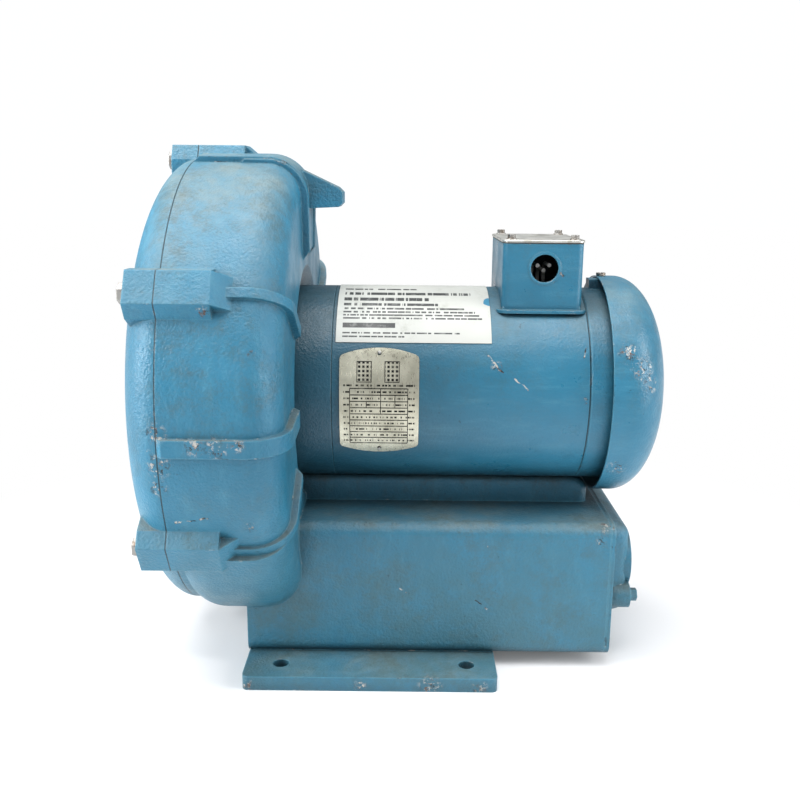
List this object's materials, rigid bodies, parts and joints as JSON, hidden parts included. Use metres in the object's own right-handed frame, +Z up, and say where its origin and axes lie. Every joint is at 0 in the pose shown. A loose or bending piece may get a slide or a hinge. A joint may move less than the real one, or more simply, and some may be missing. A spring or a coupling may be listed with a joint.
{
  "type": "side channel blower",
  "caption": "Side channel blower: finned-wheel casing with rim lugs on a muffler box with feet, driven by an enclosed fan-cooled motor with a conduit box.",
  "frame": {"origin": "centre of the four foot bolt holes on the base plane", "axes": "+X along the shaft from the blower casing to the fan cover, +Z up, -Y the side with the rating plate and the cable entry"},
  "size_m": [0.422, 0.3822, 0.4255],
  "materials": {
    "cast_paint": "worn paint on a casting",
    "motor_paint": "worn smooth paint",
    "zinc_sheet": "dull zinc",
    "aluminium_plate": "etched",
    "steel": "turned",
    "label_film": "matt film",
    "cast_aluminium": "as cast",
    "lamination_steel": "stacked sheet",
    "winding_copper": "varnished",
    "screw_steel": "dull zinc",
    "bearing_steel": "ground",
    "cage_brass": "stamped",
    "seal_rubber": "matt",
    "fan_plastic": "moulded",
    "gasket_sheet": "sheet",
    "lead_insulation": "insulated wire",
    "muffler_foam": "open foam"
  },
  "bodies": {
    "casing_and_motor": {"housing": "cast_paint", "cover": "cast_paint", "manifold_cover": "cast_paint", "drive_end_bell": "motor_paint", "motor_shell": "motor_paint", "fan_end_bell": "motor_paint", "fan_cover": "motor_paint", "conduit_box": "motor_paint", "conduit_lid": "zinc_sheet", "rating_plate": "aluminium_plate", "rating_plate_pins": "steel", "data_label": "label_film", "stator_core": "lamination_steel", "stator_winding": "winding_copper", "drive_bearing_outer_ring": "bearing_steel", "fan_bearing_outer_ring": "bearing_steel", "bearing_wave_spring": "steel", "shaft_seal": "seal_rubber", "fan_cover_screws": "screw_steel", "motor_long_bolts": "screw_steel", "motor_face_bolts": "screw_steel", "rim_bolts": "screw_steel", "manifold_bolts": "cast_paint", "manifold_long_bolts": "cast_paint", "conduit_lid_screws": "screw_steel", "conduit_box_screws": "screw_steel", "conduit_gasket": "gasket_sheet", "manifold_gasket": "cast_paint", "lead_grommet": "seal_rubber", "motor_leads": "lead_insulation", "front_muffler_foam": "muffler_foam", "rear_muffler_foam": "muffler_foam"},
    "rotor": {"shaft": "steel", "impeller": "cast_aluminium", "impeller_key": "steel", "impeller_washer": "steel", "impeller_bolt": "screw_steel", "impeller_spacer": "steel", "rotor_core": "cast_aluminium", "drive_bearing_inner_ring": "bearing_steel", "fan_bearing_inner_ring": "bearing_steel", "cooling_fan": "fan_plastic", "fan_clip": "steel", "drive_bearing_balls": "bearing_steel", "drive_bearing_cage": "cage_brass", "fan_bearing_balls": "bearing_steel", "fan_bearing_cage": "cage_brass"}
  },
  "joints": [
    {"name": "rotor_spin", "type": "hinge", "parent": "casing_and_motor", "child": "rotor", "pos_m": [0, 0, 0.228], "axis": [1, 0, 0], "continuous": true}
  ]
}
